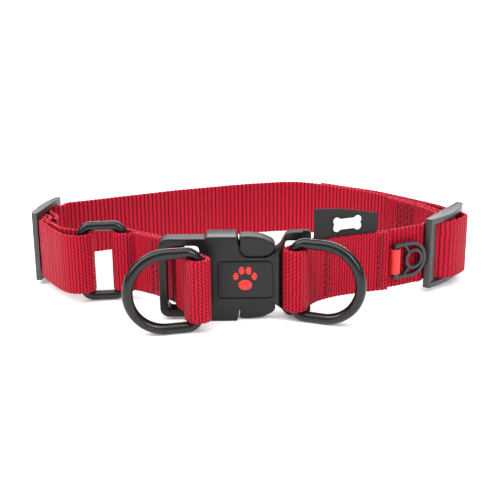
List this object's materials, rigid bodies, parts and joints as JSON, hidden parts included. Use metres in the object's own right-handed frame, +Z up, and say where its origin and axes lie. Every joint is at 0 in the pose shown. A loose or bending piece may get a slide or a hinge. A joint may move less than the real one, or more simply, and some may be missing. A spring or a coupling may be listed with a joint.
{
  "type": "martingale collar",
  "caption": "Adjustable red webbing martingale collar with a side-release buckle, a pull-through control strap, leash rings, sliders and a tag ring.",
  "frame": {"origin": "centre of the closed collar's bounding box in plan, on the surface it stands on", "axes": "+X along the closed collar's length towards the end with the front slider, +Y from the buckle towards the back of the neck, +Z up across the webbing's width"},
  "size_m": [0.189, 0.127, 0.0392],
  "materials": {
    "webbing_red": "ribbed woven nylon",
    "ribbon_red": "satin",
    "thread_red": "sewing thread",
    "buckle_black": "fine matte",
    "ring_black": "satin black coating",
    "slider_grey": "dark grey satin",
    "label_black": "woven",
    "label_white": "woven",
    "badge_red": "matte",
    "tag_black": "satin"
  },
  "bodies": {
    "female_side": {"female_buckle": "buckle_black", "badge_plate": "buckle_black", "badge_motif": "badge_red", "running_strap": "webbing_red", "right_main_strap": "webbing_red", "right_slider": "slider_grey", "label": "label_black", "label_motif": "label_white", "tag_ribbon": "ribbon_red", "front_fold_stitches": "thread_red", "right_stub_stitches": "thread_red"},
    "male_side": {"male_buckle": "buckle_black", "middle_back_strap": "webbing_red"},
    "upper_arm": {"upper_release_arm": "buckle_black"},
    "lower_arm": {"lower_release_arm": "buckle_black"},
    "left_side": {"left_main_strap": "webbing_red", "left_slider": "slider_grey", "control_strap": "webbing_red", "control_strap_stitches": "thread_red"},
    "oval_ring": {"oval_ring": "ring_black"},
    "leash_pocket": {"leash_ring_pocket": "webbing_red"},
    "left_d_ring": {"left_d_ring": "ring_black"},
    "right_d_ring": {"right_d_ring": "ring_black"},
    "tag_ring": {"tag_ring": "tag_black"}
  },
  "joints": [
    {"name": "buckle_open", "type": "hinge", "parent": "female_side", "child": "male_side", "pos_m": [-0.00297, 0.0582, 0.017], "axis": [0, 0, -1], "range_deg": [0, 15.5], "deforming": ["upper_release_arm", "lower_release_arm"]},
    {"name": "collar_cinch", "type": "hinge", "parent": "male_side", "child": "left_side", "pos_m": [-0.01347, 0.0548, 0.017], "axis": [0, 0, 1], "range_deg": [-1.8, 8.5], "deforming": ["control_strap", "control_strap_stitches"]},
    {"name": "control_pull", "type": "slide", "parent": "male_side", "child": "leash_pocket", "axis": [0, -1, 0], "range_m": [-0.003, 0.013]},
    {"name": "left_d_ring_swing", "type": "hinge", "parent": "leash_pocket", "child": "left_d_ring", "pos_m": [-0.01857, -0.05535, 0.017], "axis": [0, 0, 1], "range_deg": [-15, 90]},
    {"name": "right_d_ring_swing", "type": "hinge", "parent": "female_side", "child": "right_d_ring", "pos_m": [0.01803, -0.04435, 0.017], "axis": [0, 0, 1], "range_deg": [-75, 28]},
    {"name": "oval_ring_swing", "type": "hinge", "parent": "left_side", "child": "oval_ring", "pos_m": [-0.06757, -0.02085, 0.017], "axis": [0, 0, 1], "range_deg": [-2, 2], "deforming": ["control_strap"]},
    {"name": "tag_ring_swing", "type": "hinge", "parent": "female_side", "child": "tag_ring", "pos_m": [0.06043, -0.02195, 0.0164], "axis": [0, 0, -1], "range_deg": [-2, 70]},
    {"name": "upper_arm_press", "type": "hinge", "parent": "male_side", "child": "upper_arm", "pos_m": [-0.01497, -0.04015, 0.0273], "axis": [0, 1, 0], "range_deg": [0, 8], "stiffness_Nm_per_rad": 1.4},
    {"name": "lower_arm_press", "type": "hinge", "parent": "male_side", "child": "lower_arm", "pos_m": [-0.01497, -0.04015, 0.0072], "axis": [0, -1, 0], "range_deg": [0, 8], "stiffness_Nm_per_rad": 1.4}
  ],
  "couplings": [
    {"joint": "control_pull", "follows": "collar_cinch", "m_per_rad": 0.087}
  ]
}
